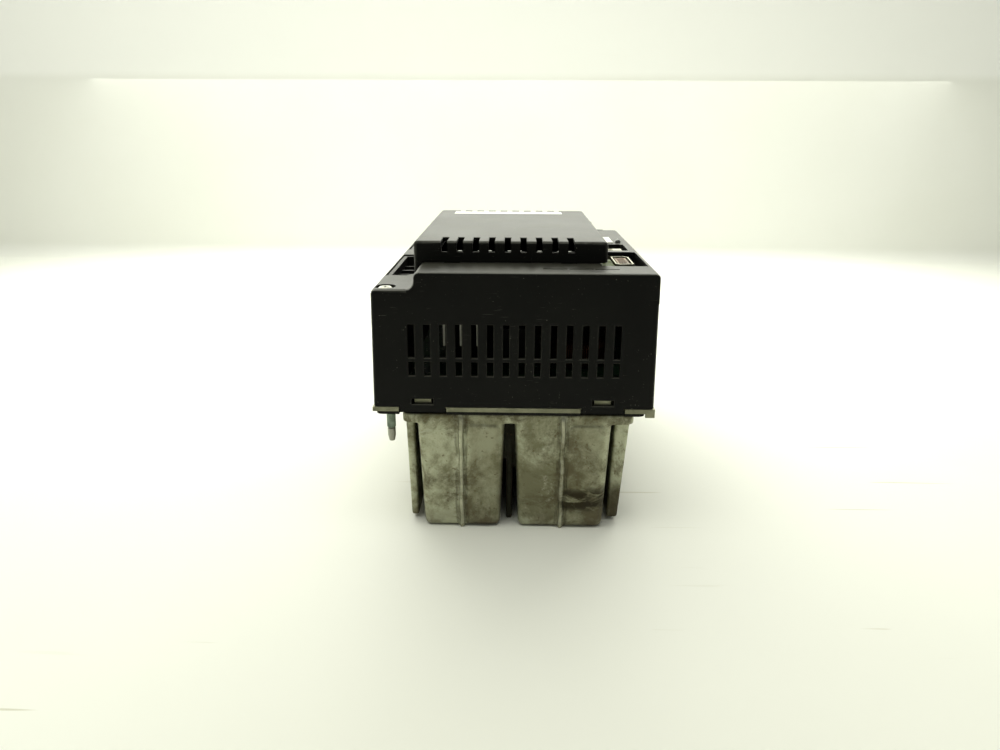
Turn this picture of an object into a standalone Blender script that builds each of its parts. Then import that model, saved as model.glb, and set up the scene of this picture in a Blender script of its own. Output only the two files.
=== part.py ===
"""Variable frequency drive with a push-through cast heatsink, lying on the heatsink with its front face up.

Metres, +Z up. The origin is on the floor under the centre of the drive, X runs across it and Y along it.
The vented "near" end is at -Y; the fans are under the far end, at +Y.
"""

import math

import bmesh
import bpy
from mathutils import Matrix, Vector

# Fits
GAP = 0.0003            # between pieces that touch or rest on each other
SLIDE = 0.0005          # round a piece that slides or turns
CLEAR = 0.0008          # round a piece that drops into an opening
EASY = 0.0015           # round a piece that passes through a larger piece

# Housing
CASE_WIDTH = 0.183      # across its foot
CASE_LENGTH = 0.3020
CASE_RISE = 0.0770      # from its foot to the low terrace
STEP_RISE = 0.0110      # from the low terrace to the raised block
CASE_WALL = 0.0025
CASE_DRAFT = 0.0157     # tangent of the draft on each side
CASE_ROUND = 0.0030
STEP_INSET = 0.0275     # of the raised block's left flank from the foot's left edge
STEP_FOOT_ROUND = 0.0050
STEP_TOP_ROUND = 0.0035
RAISED_INSET = 0.0940   # of the raised block's far end from the far face
RAISED_CORNER = 0.0100  # plan radius of its far right corner
MOUTH_CHAMFER = 0.0004  # round each slot and window

# Mounting plate and gasket
PLATE_THICK = 0.0030
PLATE_MARGIN = 0.0005   # beyond the housing's foot
GASKET_THICK = 0.0020
GASKET_INSET = 0.0020
GASKET_RIGHT_INSET = 0.0060
LEFT_TAB = (0.0175, 0.0470)             # each snap tab's two sides, from the foot's nearer edge
RIGHT_TAB = (0.0197, 0.0470)
NOTCH_DEPTH = 0.0060
PLATE_STRIP = 0.0030    # of plate left between a notch and the middle opening
HOOK_WIDTH = 0.0110
HOOK_THICK = 0.0016
HOOK_RISE = 0.0047      # above the plate
WINDOW_WIDTH = 0.0140
WINDOW_LOW, WINDOW_HIGH = 0.0015, 0.0054    # above the housing's foot

# Heatsink casting
HEATSINK_HEIGHT = 0.0782                # floor to the underside of the flange
FLANGE_THICK = 0.0069
FLANGE_LEFT, FLANGE_RIGHT = 0.0184, 0.0120      # set in from the plate's edges
FLANGE_NEAR = 0.0030
FLANGE_CORNER = 0.0060
CASTING_DRAFT = 0.0400                  # tangent of the draft on each side
WELL_WALL = 0.0035
WELL_FLOOR = 0.0040
WELL_SPLIT = 0.0064                     # between the two wells, at the flange
WELL_MIDDLE = -0.0023                   # centre of that split
LEFT_WELL_EXTRA = 0.0020                # each well's width beyond what its capacitors need
RIGHT_WELL_EXTRA = 0.0082
SIDE_WALLS = (0.0062, 0.0105)           # of the casting's left and right outer walls, at the flange
SIDE_LEANS = (0.0020, 0.0054)           # how far their outer faces lean in, down to the foot
SIDE_FOOT = 0.0020                      # of those walls above the floor
SIDE_ROUND = 0.0015
FIN_THICK = 0.0040
CENTRE_FIN_THICK = 0.0056
FIN_PITCH = 0.0165
FIN_SETBACK = 0.0140                    # of the fins beside the wells, from the near face
RIDGE_WIDTH = 0.0040                    # of the parting ridge down each well's near face
RIDGE_PROUD = 0.0018
PANEL_PROUD = 0.0008                    # of the panel beside that ridge
PAD_RISE = 0.0004                       # of the casting's pad above the plate's upper face
PAD_END = 0.0300                        # from the plate's far edge

# Capacitors and power stage
CAPACITOR_DIAMETER = 0.0400
CAPACITOR_HEIGHT = 0.0940
BOARD_THICK = 0.0016
MODULE_SIZE = (0.1070, 0.0450, 0.0120)
DRIVER_BOARD = (0.1360, 0.0460)         # the upright board's length and height
DRIVER_SETBACK = 0.0510                 # from the power board's far edge

# Fans
FAN_SIZE = 0.0600
FAN_DEPTH = 0.0250
FAN_HOLE_INSET = 0.0050
FAN_RIM = 0.0015        # of the frame round its bore, at the thinnest
FAN_HUB = 0.0280
FAN_SPACE = 0.0040      # between the two frames
FAN_PLATE_INSETS = (0.0050, 0.0060)     # of the fan plate from the flange's left and right edges
FAN_PLATE_THICK = 0.0015
BLADES = 7

# Front cover
COVER_OVERHANG = 0.0030                 # past the raised block's left flank
COVER_RIGHT_INSET = 0.0301              # from the foot's right edge
COVER_START, COVER_END = 0.0370, 0.0720 # from the near and far faces
COVER_RISE = 0.0143                     # above the raised block
COVER_CORNER, COVER_EDGE = 0.0030, 0.0028       # radii of its upright corners and of its top edge
COVER_WALL = 0.0025
COVER_RIM = 0.0080                      # of the raised block left under the cover's edge
SLOT_COUNT, SLOT_PITCH, SLOT_WIDTH = 9, 0.0105, 0.0042
SLOT_OFFSET = -0.0020                   # of the row's middle from the cover's
SLOT_NEAR, SLOT_FAR = 0.0180, 0.0110    # how far the slots run back from each end
SLOT_FOOT = 0.0073                      # their foot below the cover's top
LABEL_THICK = 0.0003
COVER_LABEL = (0.0940, 0.0170)          # its width and length
COVER_LABEL_INSET = 0.0120              # from the cover's far edge
LABEL_SHIFT = 0.0032                    # of the label to the left of the cover's middle
HINGE_TAB = (0.0100, 0.0020, 0.0053)    # width, thickness, depth below the hinge line
HINGE_TAB_SPREAD = 0.0390               # each side of the cover's middle
LATCH = (0.0045, 0.0120, 0.0045)        # its pad: through the wall, along it, and tall
LATCH_SETBACK = 0.0600                  # from the cover's far edge
LATCH_DROP = 0.0050                     # below the cover's top

# Openings beside the cover, in the raised block
SOCKET_START, SOCKET_LENGTH = 0.0290, 0.0575    # from the near face
SWITCH_START, SWITCH_LENGTH = 0.0940, 0.0300
UNDERCUT = 0.0050                       # of both openings below the cover's edge
SOCKET_MARGIN, SWITCH_MARGIN = 0.0050, 0.0085   # from the foot's right edge
SWITCH_CORNER = 0.0020
SLIT_COUNT, SLIT_PITCH, SLIT_LENGTH, SLIT_WIDTH = 3, 0.0165, 0.0155, 0.0020
SLIT_INSET = 0.0735                     # of the first slit from the foot's right edge
SLIT_START = 0.0160                     # from the near face

# Vents
VENT_COUNT, VENT_PITCH, VENT_WIDTH = 14, 0.0101, 0.0041
VENT_LOW = (0.0210, 0.0305)             # above the housing's foot
VENT_HIGH = (0.0330, 0.0550)

# Terminals
TERMINAL_POLES, TERMINAL_PITCH = 5, 0.0160
TERMINAL_WIDTH = 0.0185
TERMINAL_MARGIN = 0.0020                # between the openings and the wall's outer face
TERMINAL_STARTS = (0.0500, 0.1625)      # from the near face
TERMINAL_END = 0.0025                   # of moulding beyond the end poles
TERMINAL_CHAMFER = 0.0060
TERMINAL_RIMS = (0.0028, 0.0015, 0.0009)        # left, right, and at each end
TROUGH_DEPTH = 0.0050                   # of the walls between poles below the rim
POCKET_DEPTH = 0.0110

# Captive mounting screws
SCREW_INSET = (0.0093, 0.0122)          # from the housing's foot edges
SCREW_HEAD = 0.0098
SCREW_SHANK = 0.0040
SCREW_BELOW = 0.0257                    # of screw below the plate
SLEEVE_DIAMETER = 0.0060
SLEEVE_BELOW = 0.0155
SLEEVE_ABOVE = 0.0120                   # of sleeve in the housing's boss
COUNTERBORE = 0.0135
COUNTERBORE_DEPTH = 0.0030
BOSS_WALL = 0.0020

# Levels
FLANGE_TOP = HEATSINK_HEIGHT + FLANGE_THICK
GASKET_BASE = FLANGE_TOP + GAP
PLATE_BASE = GASKET_BASE + GASKET_THICK + GAP
PLATE_TOP = PLATE_BASE + PLATE_THICK
CASE_BASE = PLATE_TOP + GAP
LOW_TOP = CASE_BASE + CASE_RISE
RAISED_TOP = LOW_TOP + STEP_RISE
COVER_TOP = RAISED_TOP + COVER_RISE
POWER_BOARD = max(WELL_FLOOR + CAPACITOR_HEIGHT, PLATE_TOP + PAD_RISE + MODULE_SIZE[2]) + 0.0030
CONTROL_BOARD = RAISED_TOP - 0.0200

# Plan
PLATE_X = CASE_WIDTH / 2 + PLATE_MARGIN
PLATE_Y = CASE_LENGTH / 2 + PLATE_MARGIN
NEAR = -CASE_LENGTH / 2
FLANGE_X = (FLANGE_LEFT - PLATE_X, PLATE_X - FLANGE_RIGHT)
CASTING_LEAN = CASTING_DRAFT * HEATSINK_HEIGHT
WELL_WIDTH = CAPACITOR_DIAMETER + 2 * EASY + 2 * WELL_WALL + 2 * CASTING_LEAN
WELL_LENGTH = 2 * CAPACITOR_DIAMETER + 3 * EASY + 2 * WELL_WALL + 2 * CASTING_LEAN
WELL_NEAR = FLANGE_NEAR - PLATE_Y
WELLS = [(WELL_MIDDLE - WELL_SPLIT / 2 - WELL_WIDTH - LEFT_WELL_EXTRA, WELL_MIDDLE - WELL_SPLIT / 2),
         (WELL_MIDDLE + WELL_SPLIT / 2, WELL_MIDDLE + WELL_SPLIT / 2 + WELL_WIDTH + RIGHT_WELL_EXTRA)]
PAD_X = (WELLS[0][0], WELLS[1][1])
PAD_Y = (NOTCH_DEPTH + PLATE_STRIP + CLEAR - PLATE_Y, PLATE_Y - PAD_END)
SCREWS = {"near_left": (-CASE_WIDTH / 2 + SCREW_INSET[0], NEAR + SCREW_INSET[1]),
          "far_right": (CASE_WIDTH / 2 - SCREW_INSET[0], -NEAR - SCREW_INSET[1])}
TABS = [(LEFT_TAB[0] - CASE_WIDTH / 2, LEFT_TAB[1] - CASE_WIDTH / 2),
        (CASE_WIDTH / 2 - RIGHT_TAB[1], CASE_WIDTH / 2 - RIGHT_TAB[0])]
STEP_X = STEP_INSET - CASE_WIDTH / 2
RAISED_END = -NEAR - RAISED_INSET
COVER_LEFT, COVER_RIGHT = STEP_X - COVER_OVERHANG, CASE_WIDTH / 2 - COVER_RIGHT_INSET
COVER_MIDDLE = (COVER_LEFT + COVER_RIGHT) / 2
COVER_NEAR, COVER_FAR = NEAR + COVER_START, -NEAR - COVER_END
HINGE = (COVER_MIDDLE, COVER_NEAR, RAISED_TOP + GAP)
HINGE_TAB_XS = (COVER_MIDDLE - HINGE_TAB_SPREAD, COVER_MIDDLE + HINGE_TAB_SPREAD)
LATCH_Y, LATCH_Z = COVER_FAR - LATCH_SETBACK, COVER_TOP - LATCH_DROP
BAY_X = (STEP_X + COVER_RIM, COVER_RIGHT - COVER_RIM)
BAY_Y = (COVER_NEAR + COVER_RIM + 0.0020, RAISED_END - COVER_RIM)
TERMINAL_X = CASE_DRAFT * CASE_RISE - CASE_WIDTH / 2 + TERMINAL_MARGIN + CLEAR
SOCKET_X = (COVER_RIGHT - UNDERCUT, CASE_WIDTH / 2 - SOCKET_MARGIN)
SOCKET_Y = (NEAR + SOCKET_START, NEAR + SOCKET_START + SOCKET_LENGTH)
SWITCH_X = (COVER_RIGHT - UNDERCUT, CASE_WIDTH / 2 - SWITCH_MARGIN)
SWITCH_Y = (NEAR + SWITCH_START, NEAR + SWITCH_START + SWITCH_LENGTH)
FAN_BORE = FAN_SIZE - 2 * FAN_RIM
FAN_HOLES = FAN_SIZE - 2 * FAN_HOLE_INSET
FAN_XS = [(FLANGE_X[0] + FLANGE_X[1]) / 2 + side * (FAN_SIZE + FAN_SPACE) / 2 for side in (-1, 1)]
FAN_END = PLATE_Y - FLANGE_NEAR - FAN_PLATE_THICK - GAP


# ---- materials

def material(name, colour, roughness, metallic=0.0):
    made = bpy.data.materials.get(name)
    if made:
        return made
    made = bpy.data.materials.new(name)
    made.use_nodes = True
    shader = made.node_tree.nodes["Principled BSDF"]
    shader.inputs["Base Color"].default_value = (*colour, 1.0)
    shader.inputs["Roughness"].default_value = roughness
    shader.inputs["Metallic"].default_value = metallic
    made.diffuse_color = (*colour, 1.0)
    return made


def black_plastic():
    return material("black_plastic", (0.020, 0.021, 0.019), 0.42)


def cast_aluminium():
    return material("cast_aluminium", (0.33, 0.33, 0.29), 0.55, 0.8)


def zinc_steel():
    return material("zinc_steel", (0.62, 0.61, 0.56), 0.35, 1.0)


def bright_steel():
    return material("bright_steel", (0.72, 0.71, 0.68), 0.25, 1.0)


def brass():
    return material("brass", (0.60, 0.45, 0.20), 0.35, 1.0)


def foam_rubber():
    return material("foam_rubber", (0.015, 0.015, 0.015), 0.85)


def circuit_board():
    return material("circuit_board", (0.03, 0.17, 0.07), 0.45)


def green_plastic():
    return material("green_plastic", (0.28, 0.36, 0.08), 0.45)


def cream_plastic():
    return material("cream_plastic", (0.78, 0.75, 0.62), 0.45)


def pale_sleeve():
    return material("pale_sleeve", (0.42, 0.58, 0.46), 0.5)


def white_label():
    return material("white_label", (0.85, 0.85, 0.80), 0.5)


def dark_plastic():
    return material("dark_plastic", (0.035, 0.035, 0.035), 0.5)


# ---- building

def finish(name, bm, finish_material, parent=None, origin=(0, 0, 0), smooth=30):
    """An object from a bmesh whose points are in the drive's frame, with its own origin at the place given."""
    bmesh.ops.recalc_face_normals(bm, faces=bm.faces)
    bmesh.ops.translate(bm, verts=bm.verts, vec=-Vector(origin))
    mesh = bpy.data.meshes.new(name)
    bm.to_mesh(mesh)
    bm.free()
    mesh.materials.append(finish_material)
    mesh.shade_smooth()
    mesh.set_sharp_from_angle(angle=math.radians(smooth))
    made = bpy.data.objects.new(name, mesh)
    bpy.context.scene.collection.objects.link(made)
    made.location = Vector(origin)
    if parent:
        made.parent = parent
        made.matrix_parent_inverse = parent.matrix_basis.inverted()
    return made


def box(lower, upper, top_inset=0.0, bottom_inset=0.0):
    """A box between two corners, whose top or bottom may be smaller by an inset on every side."""
    bm = bmesh.new()
    (x0, y0, z0), (x1, y1, z1) = lower, upper
    rings = []
    for z, inset in ((z0, bottom_inset), (z1, top_inset)):
        corners = ((x0 + inset, y0 + inset), (x1 - inset, y0 + inset),
                   (x1 - inset, y1 - inset), (x0 + inset, y1 - inset))
        rings.append([bm.verts.new((x, y, z)) for x, y in corners])
    bm.faces.new(reversed(rings[0]))
    bm.faces.new(rings[1])
    for i in range(4):
        j = (i + 1) % 4
        bm.faces.new((rings[0][i], rings[0][j], rings[1][j], rings[1][i]))
    return bm


def prism(outline, start, end, axis="Z"):
    """An outline of (u, v) points swept from start to end along an axis: u, v are X, Y, or X, Z when along Y."""
    if axis == "Z":
        return loft([(u, v, start) for u, v in outline], [(u, v, end) for u, v in outline])
    return loft([(u, start, v) for u, v in outline], [(u, end, v) for u, v in outline])


def loft(first_outline, last_outline):
    """A solid between two outlines of as many points each."""
    bm = bmesh.new()
    first = [bm.verts.new(point) for point in first_outline]
    last = [bm.verts.new(point) for point in last_outline]
    bm.faces.new(first)
    bm.faces.new(reversed(last))
    for i in range(len(first)):
        j = (i + 1) % len(first)
        bm.faces.new((first[j], first[i], last[i], last[j]))
    bmesh.ops.recalc_face_normals(bm, faces=bm.faces)
    return bm


def arc(centre, radius, start, end, steps=4):
    """Points of an arc, from one angle in degrees to another."""
    angles = [math.radians(start + (end - start) * i / steps) for i in range(steps + 1)]
    return [(centre[0] + radius * math.cos(a), centre[1] + radius * math.sin(a)) for a in angles]


def rounded(x0, x1, y0, y1, radius, steps=4):
    """A rectangle with round corners."""
    points = []
    corners = ((x1 - radius, y0 + radius), (x1 - radius, y1 - radius),
               (x0 + radius, y1 - radius), (x0 + radius, y0 + radius))
    for i, corner in enumerate(corners):
        points += arc(corner, radius, 90 * i - 90, 90 * i, steps)
    return points


def turned(profile, place, direction=(0, 0, 1), steps=16):
    """A solid of revolution: profile holds (radius, height) points, and its two ends are on the axis."""
    bm = bmesh.new()
    rings = []
    for radius, height in profile:
        if radius == 0:
            rings.append([bm.verts.new((0, 0, height))])
            continue
        angles = [2 * math.pi * i / steps for i in range(steps)]
        rings.append([bm.verts.new((radius * math.cos(a), radius * math.sin(a), height)) for a in angles])
    for lower, upper in zip(rings, rings[1:]):
        for i in range(steps):
            j = (i + 1) % steps
            corners = [lower[i % len(lower)], lower[j % len(lower)], upper[j % len(upper)], upper[i % len(upper)]]
            bm.faces.new(list(dict.fromkeys(corners)))
    turn = Vector((0, 0, 1)).rotation_difference(Vector(direction)).to_matrix().to_4x4()
    bmesh.ops.transform(bm, matrix=Matrix.Translation(place) @ turn, verts=bm.verts)
    bmesh.ops.recalc_face_normals(bm, faces=bm.faces)
    return bm


def rod(radius, lower, upper, steps=16):
    """A straight round bar between two points."""
    along = Vector(upper) - Vector(lower)
    return turned([(0, 0), (radius, 0), (radius, along.length), (0, along.length)], lower, along, steps)


def soften(bm, chosen, width, segments=2):
    """Bevels the edges that the test picks by their two ends."""
    edges = [edge for edge in bm.edges if chosen(*(vert.co for vert in edge.verts))]
    bmesh.ops.bevel(bm, geom=edges, offset=width, segments=segments, profile=0.5, affect="EDGES", clamp_overlap=True)
    return bm


def combine(base, pieces, operation):
    """The bmesh base with each of the other bmeshes added to it or cut from it."""
    holder = bpy.data.objects.new("holder", bpy.data.meshes.new("holder"))
    tools = bpy.data.collections.new("tools")
    bpy.context.scene.collection.objects.link(holder)
    bmesh.ops.recalc_face_normals(base, faces=base.faces)
    base.to_mesh(holder.data)
    base.free()
    for piece in pieces:
        tool = bpy.data.objects.new("tool", bpy.data.meshes.new("tool"))
        bmesh.ops.recalc_face_normals(piece, faces=piece.faces)
        piece.to_mesh(tool.data)
        piece.free()
        tools.objects.link(tool)
    boolean = holder.modifiers.new("combine", "BOOLEAN")
    boolean.operation = operation
    boolean.operand_type = "COLLECTION"
    boolean.collection = tools
    boolean.solver = "EXACT"
    bpy.context.view_layer.update()
    evaluated = holder.evaluated_get(bpy.context.evaluated_depsgraph_get())
    result = bmesh.new()
    result.from_mesh(evaluated.to_mesh())
    evaluated.to_mesh_clear()
    for tool in list(tools.objects):
        bpy.data.objects.remove(tool)
    bpy.data.collections.remove(tools)
    bpy.data.objects.remove(holder)
    return result


def cut(base, pieces):
    return combine(base, pieces, "DIFFERENCE")


def join(base, pieces):
    return combine(base, pieces, "UNION")


# ---- heatsink: one casting with a flange, two capacitor wells, lengthwise fins and a pad for the power module

def tapered_block(x0, x1, y0, y1):
    block = box((x0, y0, 0), (x1, y1, HEATSINK_HEIGHT + FLANGE_THICK / 2), bottom_inset=CASTING_LEAN)
    return soften(block, lambda a, b: abs(a.z - b.z) > HEATSINK_HEIGHT / 2 or max(a.z, b.z) < GAP, 0.0040, 3)


def well_face(x0, x1):
    """The parting ridge down a well's near face, and the raised panel to its right."""
    middle = (x0 + x1) / 2
    front, top = WELL_NEAR, HEATSINK_HEIGHT - 0.0015
    half = RIDGE_WIDTH / 2
    ridge = prism([(middle - half, front + 0.0060)] + arc((middle, front - RIDGE_PROUD + half), half, 180, 360, 6)
                  + [(middle + half, front + 0.0060)], 0, HEATSINK_HEIGHT + FLANGE_THICK / 2)
    panel = prism(rounded(middle + 0.0045, x1 - 0.0040, 0.0035, top, 0.0030),
                  front - PANEL_PROUD, front + 0.0060, "Y")
    for piece in (ridge, panel):
        for vert in piece.verts:
            vert.co.y += CASTING_LEAN * (1 - vert.co.z / HEATSINK_HEIGHT)
            vert.co.x += (middle - vert.co.x) * (1 - vert.co.z / HEATSINK_HEIGHT) * 2 * CASTING_LEAN / (x1 - x0)
    return [ridge, panel]


def fin(centre, y0, y1, thick=FIN_THICK):
    """An upright fin with a round near edge."""
    half, top = thick / 2, HEATSINK_HEIGHT + FLANGE_THICK / 2
    made = box((centre - half, y0, 0), (centre + half, y1, top), bottom_inset=half / 4)
    return soften(made, lambda a, b: max(a.y, b.y) < y0 + half and abs(a.z - b.z) > top / 2, half * 0.6)


def side_wall(edge, side, thick, lean, y0, y1):
    """A long outer wall that leans in and thins towards the floor, with a round near end."""
    top = HEATSINK_HEIGHT + FLANGE_THICK / 2
    outline = [(edge, top), (edge - side * lean, SIDE_FOOT),
               (edge - side * (thick + lean / 2), SIDE_FOOT), (edge - side * thick, top)]
    wall = prism(outline, y0, y1, "Y")
    return soften(wall, lambda a, b: max(a.z, b.z) < SIDE_FOOT + GAP
                  or (max(a.y, b.y) < y0 + GAP and abs(a.z - b.z) > top / 2), SIDE_ROUND)


def make_heatsink():
    flange = prism(rounded(*FLANGE_X, WELL_NEAR, -WELL_NEAR, FLANGE_CORNER), HEATSINK_HEIGHT, FLANGE_TOP)
    pieces = [box((PAD_X[0], PAD_Y[0], FLANGE_TOP - FLANGE_THICK / 2), (PAD_X[1], PAD_Y[1], PLATE_TOP + PAD_RISE))]
    hollows = []
    for x0, x1 in WELLS:
        pieces.append(tapered_block(x0, x1, WELL_NEAR, WELL_NEAR + WELL_LENGTH))
        pieces += well_face(x0, x1)
        hollows.append(box((x0 + WELL_WALL, WELL_NEAR + WELL_WALL, WELL_FLOOR),
                           (x1 - WELL_WALL, WELL_NEAR + WELL_LENGTH - WELL_WALL, COVER_TOP), bottom_inset=CASTING_LEAN))
    side_end = FAN_END
    fan_front = FAN_END - FAN_DEPTH - EASY
    near_fin = WELL_NEAR + FIN_SETBACK
    for edge, side, thick, lean in zip(FLANGE_X, (-1, 1), SIDE_WALLS, SIDE_LEANS):
        pieces.append(side_wall(edge - side * GAP, side, thick, lean, near_fin, side_end))
    pieces.append(fin(WELL_MIDDLE, near_fin, fan_front, CENTRE_FIN_THICK))
    well_end = WELL_NEAR + WELL_LENGTH - 2 * CASTING_LEAN
    for side in (-1, 1):
        for i in range(1, int((WELL_WIDTH - CASTING_LEAN) / FIN_PITCH) + 1):
            pieces.append(fin(WELL_MIDDLE + side * i * FIN_PITCH, well_end, fan_front))
    reach = FAN_SIZE / 2 + SLIDE
    hollows.append(box((FAN_XS[0] - reach, fan_front, -EASY),
                       (FAN_XS[1] + reach, PLATE_Y, HEATSINK_HEIGHT / 2 + reach)))
    for place in SCREWS.values():
        hollows.append(rod(SLEEVE_DIAMETER / 2 + CLEAR, (*place, PLATE_BASE - SCREW_BELOW - EASY),
                           (*place, COVER_TOP)))
    return finish("heatsink", cut(join(flange, pieces), hollows), cast_aluminium())


# ---- mounting plate, its gasket, and the drive's hold-down screws

def plate_outline():
    """The plate's plan, with a notch for each of the housing's four snap tabs."""
    near = [(-PLATE_X, -PLATE_Y)]
    for start, end in TABS:
        near += [(start - CLEAR, -PLATE_Y), (start - CLEAR, NOTCH_DEPTH - PLATE_Y),
                 (end + CLEAR, NOTCH_DEPTH - PLATE_Y), (end + CLEAR, -PLATE_Y)]
    near.append((PLATE_X, -PLATE_Y))
    return near + [(x, -y) for x, y in reversed(near)]


def make_plate():
    plate = prism(plate_outline(), PLATE_BASE, PLATE_TOP)
    hooks = []
    for start, stop in TABS:
        middle = (start + stop) / 2
        for end in (-1, 1):
            back = -NEAR - CASE_WALL - SLIDE
            ys = sorted((end * back, end * (back - HOOK_THICK)))
            foot = sorted((end * back, end * (PLATE_Y - NOTCH_DEPTH - 2 * HOOK_THICK)))
            x0, x1 = middle - HOOK_WIDTH / 2, middle + HOOK_WIDTH / 2
            hooks.append(box((x0, ys[0], PLATE_TOP - PLATE_THICK / 2), (x1, ys[1], PLATE_TOP + HOOK_RISE)))
            hooks.append(box((x0, foot[0], PLATE_BASE + GAP), (x1, foot[1], PLATE_TOP)))
    lug = box((PLATE_X - 0.0060, -PLATE_Y, PLATE_BASE - 0.0027), (PLATE_X, 0.0022 - PLATE_Y, PLATE_TOP - GAP))
    plate = join(plate, hooks + [lug])
    holes = [box((PAD_X[0] - CLEAR, PAD_Y[0] - CLEAR, 0), (PAD_X[1] + CLEAR, PAD_Y[1] + CLEAR, COVER_TOP))]
    for place in SCREWS.values():
        holes.append(rod(SLEEVE_DIAMETER / 2 + SLIDE, (*place, 0), (*place, COVER_TOP)))
    return finish("mounting_plate", cut(plate, holes), zinc_steel())


def make_gasket():
    left, right = GASKET_INSET - PLATE_X, PLATE_X - GASKET_RIGHT_INSET
    end = PLATE_Y - GASKET_INSET / 2
    ring = prism(rounded(left, right, -end, end, 0.0040), GASKET_BASE, GASKET_BASE + GASKET_THICK)
    holes = [box((PAD_X[0] - CLEAR, PAD_Y[0] - CLEAR, 0), (PAD_X[1] + CLEAR, PAD_Y[1] + CLEAR, COVER_TOP))]
    for start, stop in TABS:
        for side in (-1, 1):
            ys = sorted((side * (PLATE_Y + GAP), side * (PLATE_Y - CASE_WALL - 0.0020)))
            holes.append(box((start - CLEAR, ys[0], 0), (stop + CLEAR, ys[1], COVER_TOP)))
    for place in SCREWS.values():
        holes.append(rod(SLEEVE_DIAMETER / 2 + SLIDE, (*place, 0), (*place, COVER_TOP)))
    return finish("plate_gasket", cut(ring, holes), foam_rubber())


def make_captive_screws():
    """Each long screw turns in a plastic sleeve that is pressed into the housing's boss."""
    seat = LOW_TOP - COUNTERBORE_DEPTH
    radius, thread = SCREW_SHANK / 2, SLEEVE_DIAMETER / 2 - GAP
    tip = PLATE_BASE - SCREW_BELOW
    sleeve_end = PLATE_BASE - SLEEVE_BELOW
    for name, (x, y) in SCREWS.items():
        profile = [(0, tip), (thread * 0.7, tip), (thread, tip + 0.0040), (thread, sleeve_end - 0.0012),
                   (radius, sleeve_end - 0.0006), (radius, seat + GAP), (SCREW_HEAD / 2, seat + GAP),
                   (SCREW_HEAD / 2, seat + 0.0016), (SCREW_HEAD / 2 - 0.0014, seat + 0.0028), (0, seat + 0.0030)]
        screw = turned(profile, (x, y, 0))
        cross = [box((x - a, y - b, seat + 0.0012), (x + a, y + b, RAISED_TOP)) for a, b in
                 ((0.0022, 0.0006), (0.0006, 0.0022))]
        screw = cut(screw, [join(cross[0], cross[1:])])
        finish("captive_screw_" + name, screw, bright_steel(), origin=(x, y, seat))
        tube = rod(SLEEVE_DIAMETER / 2, (x, y, sleeve_end), (x, y, CASE_BASE + SLEEVE_ABOVE))
        bore = rod(radius + SLIDE / 2, (x, y, 0), (x, y, COVER_TOP))
        finish("screw_sleeve_" + name, cut(tube, [bore]), pale_sleeve())


# ---- housing

def leaned(bm):
    """The moulding's draft: sides lean inwards as they rise from the foot."""
    for vert in bm.verts:
        rise = max(0.0, vert.co.z - CASE_BASE)
        vert.co.x *= 1 - rise * CASE_DRAFT / (CASE_WIDTH / 2)
        vert.co.y *= 1 - rise * CASE_DRAFT / (CASE_LENGTH / 2)
    return bm


def raised_profile(wall):
    """Cross-section of the raised block and of its flank, set in by the wall."""
    right, top = CASE_WIDTH / 2 - wall, RAISED_TOP - wall
    left, foot = STEP_X + wall, LOW_TOP - wall
    hidden = foot - 0.0080
    edge = max(CASE_ROUND - wall, 0.0005)
    concave = STEP_FOOT_ROUND + wall
    convex = max(STEP_TOP_ROUND - wall, 0.0005)
    points = [(right, hidden)] + arc((right - edge, top - edge), edge, 0, 90, 3)
    points += arc((left + convex, top - convex), convex, 90, 180, 3)
    points += arc((left - concave, foot + concave), concave, 0, -90, 4) + [(left - concave, hidden)]
    return points


def housing_solid(wall):
    """The outer form, or the inner one when set in by the wall."""
    x, y, low = CASE_WIDTH / 2 - wall, CASE_LENGTH / 2 - wall, LOW_TOP - wall
    base = CASE_BASE - (0.0200 if wall else 0)
    edge = max(CASE_ROUND - wall, 0.0005)
    block = box((-x, -y, base), (x, y, low))
    soften(block, lambda a, b: abs(a.z - b.z) > CASE_RISE / 2 or min(a.z, b.z) > low - GAP, edge)
    end = RAISED_END - wall
    raised = prism(raised_profile(wall), -y, end, "Y")
    soften(raised, lambda a, b: max(a.y, b.y) < GAP - y and max(a.z, b.z) > low - 0.0070, edge)
    if not wall:
        soften(raised, lambda a, b: min(a.y, b.y) > end - GAP and min(a.x, b.x) > x - GAP and abs(a.z - b.z) > 0.0040,
               RAISED_CORNER, 4)
    return leaned(join(block, [raised]))


def end_opening(x0, x1, low, high, side):
    """Cutters for one opening through an end wall, with its heights above the foot, and for its chamfered mouth."""
    low, high = CASE_BASE + low, CASE_BASE + high
    hole = prism([(x0, low), (x1, low), (x1, high), (x0, high)],
                 *sorted((side * (-NEAR - CASE_WALL - 0.0060), side * (-NEAR + 0.0060))), "Y")
    rings = []
    for grow in (0.0, 2 * MOUTH_CHAMFER):
        y = side * (-NEAR - MOUTH_CHAMFER + grow)
        rings.append([(x0 - grow, y, low - grow), (x1 + grow, y, low - grow),
                      (x1 + grow, y, high + grow), (x0 - grow, y, high + grow)])
    return [join(hole, [leaned(loft(*rings))])]


def vents(side):
    """Cutters for one end's two rows of upright slots."""
    slots = []
    for i in range(VENT_COUNT):
        x = (i - (VENT_COUNT - 1) / 2) * VENT_PITCH
        for low, high in (VENT_LOW, VENT_HIGH):
            slots += end_opening(x - VENT_WIDTH / 2, x + VENT_WIDTH / 2, low, high, side)
    return slots


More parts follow.
